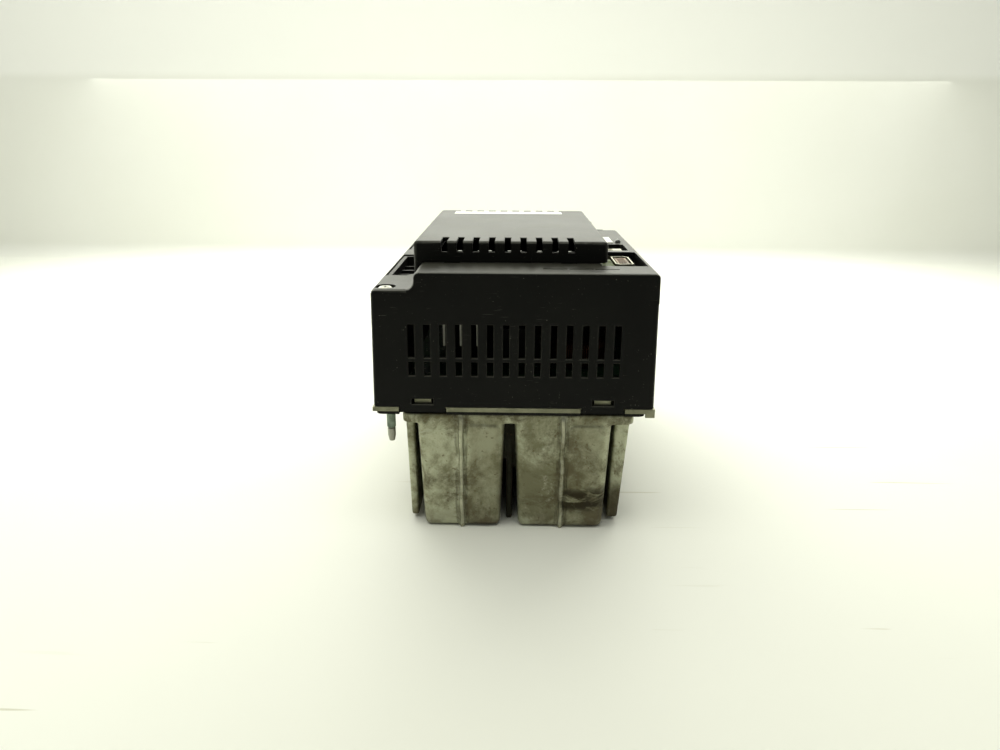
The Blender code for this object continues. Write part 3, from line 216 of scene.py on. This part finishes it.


# ---- housing: one black injection moulding that covers the boards, held to the plate by two captive screws.
# It has a fine spark texture, dust on its upward faces, a few scuffs and specks, and rounded edges painted
# lighter, partly as rubbed wear and partly as a painted highlight.
def moulded(name, dust=1.0, gloss=0.40, specks=1.0):
    """Black moulded plastic, with as much dust and as many specks as asked."""
    black = Finish(name, (0.004, 0.004, 0.0035), gloss, Specular_IOR_Level=0.13)
    cloud = black.noise(22.0, 5.0)
    upward = black.axis(black.facing, "Z").ramp(0.35, 0.95)
    squarest = 0.0
    for letter in "XYZ":
        squarest = abs(black.axis(black.facing, letter)).math("MAXIMUM", squarest)
    # rounded edges: partly rubbed wear and partly a painted highlight where the rounds catch the light
    rounded = (1.0 - squarest.ramp(0.90, 0.99)) * (black.noise(160.0, 4.0).ramp(0.35, 0.6) * 0.6 + 0.4)
    film = upward * (black.noise(38.0, 6.0, 0.65).ramp(0.30, 0.75) * 0.6 + 0.4) * dust
    dots = black.noise(1400.0, 1.0).ramp(0.755, 0.79) * black.noise(60.0, 2.0).ramp(0.42, 0.66)
    crumbs = black.noise(1000.0, 1.0).ramp(0.760, 0.775) * black.noise(35.0, 2.0).ramp(0.5, 0.64)
    scuffs = 0.0
    for turn in ((0.4, 0.2, 0.9), (1.3, 0.7, 0.1), (0.1, 1.2, 2.0)):
        lines = black.noise(1.0, 1.0, place=black.stretched((80.0, 2400.0, 2400.0), turn))
        spread = black.noise(48.0, 1.0, place=black.stretched((1, 1, 1), turn))
        scuffs = scuffs + lines.ramp(0.725, 0.745) * spread.ramp(0.60, 0.70)
    body = black.mix(cloud.ramp(0.3, 0.7), (0.0028, 0.0030, 0.0026), (0.0052, 0.0054, 0.0045))
    body = black.mix(film * 0.10, body, (0.42, 0.41, 0.31))
    body = black.mix(scuffs * 0.30, body, (0.20, 0.20, 0.17))
    # rounded edges painted lighter: wear and painted highlight
    body = black.mix(rounded * 0.10, body, (0.30, 0.30, 0.25))
    body = black.mix((dots * 0.55 + crumbs * 0.45) * specks, body, (0.55, 0.55, 0.45))
    black.feed("Base Color", body)
    black.feed("Roughness", gloss + cloud * 0.10 + film * 0.08 + scuffs * 0.1)
    spark = black.bump(black.noise(3200.0, 2.0, 0.6), 0.00005, 0.5)
    black.feed("Normal", black.bump(black.noise(90.0, 2.0), 0.00018, 0.25, under=spark))
    return black.material


weld_distance = 0.00001
dissolve_angle, bevel_angle, split_angle = math.radians(0.4), math.radians(40), math.radians(30)


def dress(name, finish, edge_width=0.0):
    """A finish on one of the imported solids, with clean shading and, where asked, slightly rounded edges."""
    node = nodes[name]
    node.data.materials.clear()
    node.data.materials.append(finish)
    node.data.shade_smooth()
    if "custom_normal" in node.data.attributes:
        node.data.attributes.remove(node.data.attributes["custom_normal"])
    node.modifiers.new("weld", "WELD").merge_threshold = weld_distance
    flat = node.modifiers.new("flat", "DECIMATE")
    flat.decimate_type = "DISSOLVE"
    flat.angle_limit = dissolve_angle
    if edge_width:
        soft = node.modifiers.new("soft", "BEVEL")
        soft.limit_method = "ANGLE"
        soft.angle_limit = bevel_angle
        soft.width = edge_width
        soft.segments = 2
    else:
        node.modifiers.new("crisp", "EDGE_SPLIT").split_angle = split_angle
    node.modifiers.new("shading", "WEIGHTED_NORMAL")


moulded_black = moulded("moulded_black")
dress("housing_shell", moulded_black)

# ---- front cover: a second moulding in the same black plastic, slotted at both its ends.
# It closes the bay over the control board, and turns on two tabs at its near edge.
dress("front_cover", moulded_black)


# ---- heatsink: one aluminium sand casting, with two deep wells at its near end and fins behind them.
# The skin is rough and has gone dull, and heat and cabinet dust have stained it brown. Its edges are soft, as
# they leave the mould.
def cast_metal():
    """Rough cast aluminium with a parting ridge and smears, darker towards its foot, with painted shade to the
    right of each ridge and in the gap between the wells. The places are those on the casting.
    """
    cast = Finish("cast_aluminium_look", (0.30, 0.30, 0.23), 0.5, 0.7, Specular_IOR_Level=0.3)
    across, along, height = (cast.axis(cast.place, letter) for letter in "XYZ")
    broad = cast.noise(20.0, 8.0, 0.72, distortion=0.3).ramp(0.40, 0.60)
    patches = cast.noise(36.0, 8.0, 0.74, distortion=0.4).ramp(0.47, 0.62)
    grain = cast.noise(620.0, 3.0, 0.6)
    body = cast.mix(broad, (0.50, 0.515, 0.375), (0.20, 0.195, 0.120))
    body = cast.mix(patches * 0.78, body, (0.115, 0.098, 0.050))
    bare = cast.noise(85.0, 6.0, 0.7).ramp(0.56, 0.70)
    body = cast.mix(bare * 0.45, body, (0.66, 0.67, 0.54))

    # the parting ridge down each well's near face, rough and lighter, between two darker grooves
    wander = across + (cast.noise(60.0, 3.0) - 0.5) * 0.0035
    nearest = 1.0
    for well_x in well_middles:
        nearest = abs(wander - well_x).math("MINIMUM", nearest)
    near_face = 1.0 - along.ramp(-0.1435, -0.1390)
    broken = cast.noise(70.0, 4.0, 0.7).ramp(0.34, 0.60)
    ridge = (1.0 - nearest.ramp(0.0008, 0.0021)) * near_face
    groove_out = 0.0033
    groove = (1.0 - abs(nearest - groove_out).ramp(0.0002, 0.0011)) * near_face * broken
    body = cast.mix(groove * 0.42, body, (0.060, 0.048, 0.024))
    body = cast.mix(ridge * broken * 0.55, body, (0.62, 0.62, 0.48))
    # painted shade: the right half of each well's near face is painted darker, as it lies in shade
    for well_x in well_middles:
        painted_shade_beside = across.ramp(well_x + 0.002, well_x + 0.008)
        painted_shade_beside = painted_shade_beside * (1.0 - across.ramp(well_x + 0.024, well_x + 0.032))
        body = cast.mix(painted_shade_beside * near_face * 0.42, body, (0.150, 0.135, 0.075))

    # swirled dark smear low on the right well, the casting darker towards the bottom and at the right foot, and
    # painted shade in the gap between the wells
    leaning = cast.stretched((26.0, 26.0, 75.0), (0.0, 0.25, 0.0))
    swirl = cast.noise(1.0, 5.0, 0.6, place=leaning, distortion=1.6).ramp(0.36, 0.52)
    band = height.ramp(0.010, 0.017) * (1.0 - height.ramp(0.026, 0.036)) * across.ramp(0.030, 0.036)
    body = cast.mix(swirl * band * near_face * 0.95, body, (0.026, 0.020, 0.009))
    # darker towards the bottom, and darker still at the right foot
    low = (1.0 - height.ramp(0.001, 0.016)) * cast.noise(40.0, 5.0).ramp(0.40, 0.60)
    body = cast.mix(low * 0.65, body, (0.085, 0.060, 0.030))
    right_foot = across.ramp(0.066, 0.070) * (1.0 - height.ramp(0.020, 0.038))
    body = cast.mix(right_foot * 0.8, body, (0.040, 0.030, 0.015))
    # painted shade: the gap between the two wells is painted near black
    painted_gap_shade = (1.0 - abs(wander - well_gap).ramp(0.0048, 0.0070)) * along.ramp(-0.1450, -0.1380)
    body = cast.mix(painted_gap_shade * 0.93, body, (0.020, 0.019, 0.012))
    body = cast.mix(cast.noise(300.0, 2.0).ramp(0.64, 0.72) * 0.55, body, (0.10, 0.07, 0.035))
    cast.feed("Base Color", body)
    cast.feed("Roughness", 0.38 + patches * 0.18 + grain * 0.16 + painted_gap_shade * 0.3)
    cast.feed("Metallic", 0.78 - patches * 0.35 - low * 0.3 - painted_gap_shade * 0.3)
    skin = cast.bump(grain, 0.00028, 0.8)
    relief = cast.bump(ridge - groove * 0.6, 0.0012, 0.8, under=skin)
    cast.feed("Normal", cast.bump(cast.noise(75.0, 4.0, 0.6), 0.0013, 0.6, under=relief))
    return cast.material


well_middles, well_gap = (-0.0346, 0.0331), -0.0023
skin_size = 0.0010
casting = bpy.data.objects.new("heatsink_casting", nodes["heatsink"].data.copy())
bpy.context.scene.collection.objects.link(casting)
casting.data.materials.clear()
casting.data.materials.append(cast_metal())
if "custom_normal" in casting.data.attributes:
    casting.data.attributes.remove(casting.data.attributes["custom_normal"])
casting.data.shade_smooth()
casting.modifiers.new("weld", "WELD").merge_threshold = weld_distance
skin = casting.modifiers.new("skin", "REMESH")
skin.mode = "VOXEL"
skin.voxel_size = skin_size
skin.use_smooth_shade = True
soft = casting.modifiers.new("soft", "SMOOTH")
soft.factor = 0.5
soft.iterations = 2
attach(casting, "chassis")
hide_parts("heatsink")


# ---- mounting plate and fan plate: cut from zinc-plated sheet steel. The first lies under the housing, whose
# four snap tabs sit in its notches, and the second closes the casting's far end. The zinc is mottled and
# stained, and has dulled to grey-green along the mounting plate's sheared edge.
def plated(name, first, second, roughness, grain=(400.0, 400.0, 400.0), metallic=0.9, stain=0.35):
    """Plated metal that varies from the first colour to the second, with its grain stretched as asked."""
    steel = Finish(name, first, roughness, metallic, Specular_IOR_Level=0.4)
    cloud = steel.noise(60.0, 5.0, 0.6)
    lines = steel.noise(1.0, 3.0, place=steel.stretched(grain))
    blots = steel.noise(140.0, 4.0, 0.6, distortion=0.8).ramp(0.55, 0.72)
    body = steel.mix(cloud.ramp(0.3, 0.7), first, second)
    steel.feed("Base Color", steel.mix(blots * stain, body, tuple(value * 0.35 for value in second)))
    steel.feed("Roughness", roughness + lines * 0.18 + blots * 0.15)
    steel.feed("Normal", steel.bump(lines, 0.00006, 0.5))
    return steel.material


dress("mounting_plate", plated("zinc_plate", (0.30, 0.30, 0.21), (0.19, 0.19, 0.13), 0.36), 0.00025)
fan_zinc = plated("fan_plate_zinc", (0.50, 0.50, 0.42), (0.36, 0.36, 0.29), 0.34, (30.0, 30.0, 900.0))
dress("fan_plate", fan_zinc, 0.0002)


# ---- plate gasket: a ring of black closed-cell foam, which lies along the mounting plate.
# It is cut from sheet, and is squeezed when the drive is fastened.
def foam():
    """Black foam rubber with fine cells."""
    rubber = Finish("foam_gasket", (0.012, 0.012, 0.011), 0.9, Specular_IOR_Level=0.15)
    cells = rubber.node("ShaderNodeTexVoronoi", None, {"Vector": rubber.place, "Scale": 1500.0})
    shade = rubber.mix(cells.ramp(0.2, 0.7), (0.006, 0.006, 0.0055), (0.022, 0.022, 0.019))
    rubber.feed("Base Color", shade)
    rubber.feed("Roughness", 0.84 + rubber.noise(200.0) * 0.12)
    rubber.feed("Normal", rubber.bump(cells, 0.0002, 0.7))
    return rubber.material


dress("plate_gasket", foam())


# ---- captive screws: two long cross-head screws of bright plated steel, which hold the drive down.
# Each turns in a greenish plastic sleeve that is pressed into the housing's boss, and ends under the plate.
def screw_steel(name):
    """Bright plated steel, with painted shade down in the driver recess of the head."""
    low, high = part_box(name)
    steel = Finish(name + "_steel", (0.46, 0.46, 0.40), 0.34, 0.95, Specular_IOR_Level=0.4)
    across = steel.axis(steel.place, "X") - (low[0] + high[0]) / 2
    along = steel.axis(steel.place, "Y") - (low[1] + high[1]) / 2
    height, top = steel.axis(steel.place, "Z"), high[2]
    from_axis = (across * across + along * along).math("SQRT")
    recess = 1.0 - height.ramp(top - 0.0010, top - 0.0004)
    in_head = height.ramp(top - 0.006, top - 0.005)
    # painted shade: the driver recess of the head is painted near black
    dirt_and_painted_shade = recess * in_head * (1.0 - from_axis.ramp(0.0032, 0.0036))
    turned = steel.noise(1.0, 3.0, place=steel.stretched((900.0, 900.0, 60.0)))
    body = steel.mix(steel.noise(60.0, 5.0, 0.6).ramp(0.3, 0.7), (0.46, 0.46, 0.40), (0.30, 0.30, 0.25))
    steel.feed("Base Color", steel.mix(dirt_and_painted_shade * 0.95, body, (0.010, 0.010, 0.008)))
    steel.feed("Metallic", 0.95 - dirt_and_painted_shade * 0.8)
    steel.feed("Roughness", 0.32 + turned * 0.18 + dirt_and_painted_shade * 0.3)
    steel.feed("Normal", steel.bump(turned, 0.00006, 0.5))
    return steel.material


def plastic(name, first, second, roughness=0.45, grime=0.3, specular=0.35):
    """A moulded plastic with mottled colour, grime that gathers in patches, and a fine grain."""
    made = Finish(name, first, roughness, Specular_IOR_Level=specular)
    cloud = made.noise(70.0, 4.0)
    dirt_and_painted_shade = made.noise(210.0, 5.0, 0.65).ramp(0.50, 0.74)
    body = made.mix(cloud.ramp(0.3, 0.7), first, second)
    made.feed("Base Color", made.mix(dirt_and_painted_shade * grime, body, tuple(value * 0.3 for value in second)))
    made.feed("Roughness", roughness + cloud * 0.12 + dirt_and_painted_shade * 0.15)
    made.feed("Normal", made.bump(made.noise(2400.0, 2.0), 0.00004, 0.4))
    return made.material


sleeve_look = plastic("sleeve_plastic", (0.34, 0.43, 0.33), (0.24, 0.30, 0.22), 0.55, 0.55)
for end in ("near_left", "far_right"):
    dress("captive_screw_" + end, screw_steel("captive_screw_" + end), 0.0002)
    dress("screw_sleeve_" + end, sleeve_look)

# ---- terminal blocks: two black mouldings in the housing's terminal openings, with less dust than the housing.
# Each holds five steel screws, which have dulled.
block_black = moulded("terminal_black", 0.4, 0.45, 0.6)
dull = plated("dull_screw", (0.34, 0.33, 0.28), (0.20, 0.19, 0.15), 0.40, (900.0, 900.0, 60.0), 0.9, 0.4)
for number in (1, 2):
    dress(f"terminal_block_{number}", block_black)
for name in nodes:
    if name.startswith("terminal_screw"):
        dress(name, dull, 0.00015)


# ---- circuit boards: three sheets of glass-epoxy. The control board stands over the power board on brass
# spacers, and the small driver board stands on edge on the power board. Green solder mask covers the copper
# tracks, and the pads are tinned.
def board_look(name, mask, track):
    """Solder mask over tracks that run both ways, with tinned pads and a little dust."""
    board = Finish(name, mask, 0.42, Specular_IOR_Level=0.45)
    grid = []
    for turn, scale in ((0.0, 620.0), (math.pi / 2, 540.0)):
        cells = board.noise(1.0, 1.0, place=board.stretched((26.0, scale, 26.0), (0, 0, turn)))
        grid.append(cells.ramp(0.53, 0.56) * board.noise(32.0, 1.0).ramp(0.44, 0.50))
    tracks = grid[0].math("MAXIMUM", grid[1])
    pads = board.node("ShaderNodeTexVoronoi", {"distance": "CHEBYCHEV"},
                      {"Vector": board.place, "Scale": 260.0, "Randomness": 0.55})
    solder = (1.0 - pads.ramp(0.13, 0.16)) * board.noise(40.0, 1.0).ramp(0.47, 0.52)
    body = board.mix(tracks * 0.8, mask, track)
    body = board.mix(solder, body, (0.50, 0.50, 0.46))
    dusty = board.noise(90.0, 5.0).ramp(0.5, 0.8) * 0.35
    board.feed("Base Color", board.mix(dusty, body, (0.10, 0.095, 0.06)))
    board.feed("Metallic", solder * 0.9)
    board.feed("Roughness", 0.34 + board.noise(120.0) * 0.2)
    board.feed("Normal", board.bump(tracks + solder, 0.00008, 0.6))
    return board.material


green_board = board_look("board_green", (0.006, 0.030, 0.012), (0.016, 0.070, 0.026))
for name in ("power_board", "control_board", "driver_board"):
    dress(name, green_board)

# ---- parts on the boards: the power module, relay, transformer and processor, in moulded black cases.
# With them go the supply's comb-shaped heatsink, brass spacers, the wrapped capacitors and the copper choke.
dark_body = plastic("component_black", (0.012, 0.012, 0.013), (0.022, 0.022, 0.023), 0.5, 0.2)
for name in ("power_module", "precharge_relay", "supply_transformer", "processor"):
    dress(name, dark_body, 0.0002)


def comb_metal():
    """Bright at the fins' near edges; behind them painted dark, as painted shade between the fins, and rougher.
    """
    comb = Finish("comb_aluminium", (0.5, 0.5, 0.46), 0.32, 0.9)
    # painted shade: behind the fins' near edges the colour falls to near black
    behind = comb.axis(comb.place, "Y").ramp(comb_front + 0.0006, comb_front + 0.0030)
    comb.feed("Base Color", comb.mix(behind, (0.55, 0.55, 0.49), (0.018, 0.018, 0.015)))
    comb.feed("Roughness", 0.30 + behind * 0.4 + comb.noise(300.0) * 0.15)
    drawn = comb.noise(1.0, 2.0, place=comb.stretched((60.0, 60.0, 1200.0)))
    comb.feed("Normal", comb.bump(drawn, 0.00005, 0.4))
    return comb.material


comb_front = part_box("supply_heatsink")[0][1]
dress("supply_heatsink", comb_metal())
brass_look = plated("brass_spacer", (0.55, 0.40, 0.16), (0.40, 0.28, 0.11), 0.32, (900.0, 900.0, 90.0))
for name in nodes:
    if "standoff" in name:
        dress(name, brass_look, 0.0002)
can_look = plastic("capacitor_wrap", (0.020, 0.028, 0.050), (0.030, 0.040, 0.066), 0.32, 0.25, 0.5)
for name in nodes:
    if name.startswith("capacitor_"):
        dress(name, can_look)


def winding():
    """Enamelled copper wire, wound round a ring, whose turns run out from its middle."""
    wire = Finish("copper_turns", (0.10, 0.035, 0.012), 0.45, 0.7)
    from_middle = wire.node("ShaderNodeVectorMath", {"operation": "SUBTRACT"},
                            {0: wire.place, 1: tuple(choke_middle)})
    around = wire.node("ShaderNodeTexGradient", {"gradient_type": "RADIAL"}, {"Vector": from_middle})
    turns = (around * 75.0).math("PINGPONG", 0.5) * 2.0
    wire.feed("Base Color", wire.mix(turns, (0.020, 0.007, 0.003), (0.13, 0.045, 0.016)))
    wire.feed("Roughness", 0.30 + wire.noise(300.0) * 0.2)
    wire.feed("Normal", wire.bump(turns, 0.0005, 0.9))
    return wire.material


choke_low, choke_high = (Vector(corner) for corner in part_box("common_mode_choke"))
choke_middle = (choke_low + choke_high) / 2
dress("common_mode_choke", winding())

# ---- signal connectors: a green terminal strip, a bank of four slide switches and a socket, on the control
# board beside the cover. The socket has a tinned shell round a comb of brown-gold contacts.
green_strip = plastic("terminal_green", (0.20, 0.26, 0.05), (0.13, 0.18, 0.03), 0.42, 0.4)
dress("signal_terminal", green_strip, 0.0001)
switch_cream = plastic("switch_cream", (0.62, 0.60, 0.46), (0.52, 0.50, 0.37), 0.42, 0.25)
dress("switch_body", switch_cream, 0.0002)
lever_white = plastic("lever_white", (0.80, 0.80, 0.74), (0.70, 0.70, 0.62), 0.38, 0.15)
for number in range(1, 5):
    dress(f"switch_lever_{number}", lever_white, 0.0001)
dress("socket_shell", plated("socket_tin", (0.34, 0.33, 0.24), (0.20, 0.19, 0.13), 0.38,
                             (500.0, 60.0, 500.0), 0.95, 0.15))
dress("socket_contacts", plated("contact_gold", (0.165, 0.088, 0.022), (0.058, 0.030, 0.009), 0.45,
                                (60.0, 900.0, 60.0), 0.7, 0.5))


# ---- labels and status lamp: two plain film labels, one on the cover and one on the right terrace.
# The lamp beside the second one is a small dome of smoked plastic.
def film_label(name, first, second):
    """Matt film, a little dirty and not quite flat, with nothing printed on it."""
    film = Finish(name, first, 0.42, Specular_IOR_Level=0.4)
    film.feed("Base Color", film.mix(film.noise(120.0, 5.0).ramp(0.45, 0.75), first, second))
    film.feed("Roughness", 0.36 + film.noise(300.0) * 0.18)
    film.feed("Normal", film.bump(film.noise(160.0, 3.0), 0.0001, 0.3))
    return film.material


dress("terrace_label", film_label("label_grey", (0.62, 0.62, 0.54), (0.50, 0.50, 0.42)))
dress("cover_label", film_label("label_white", (0.66, 0.66, 0.60), (0.56, 0.56, 0.49)))
dress("status_lamp", plastic("lamp_smoked", (0.10, 0.105, 0.09), (0.07, 0.075, 0.065), 0.18, 0.1, 0.6))

# ---- cover latches and fans: moulded in black plastic that is less dusty than the housing's.
# A latch is a pad that shows through the cover's side, and a fan is a square frame with its rotor.
latch_black = moulded("latch_black", 0.5, 0.36, 0.5)
fan_black = moulded("fan_black", 0.7, 0.44, 0.8)
for side in ("left", "right"):
    dress("cover_latch_" + side, latch_black, 0.0002)
    dress("fan_frame_" + side, fan_black)
    dress("fan_rotor_" + side, fan_black)
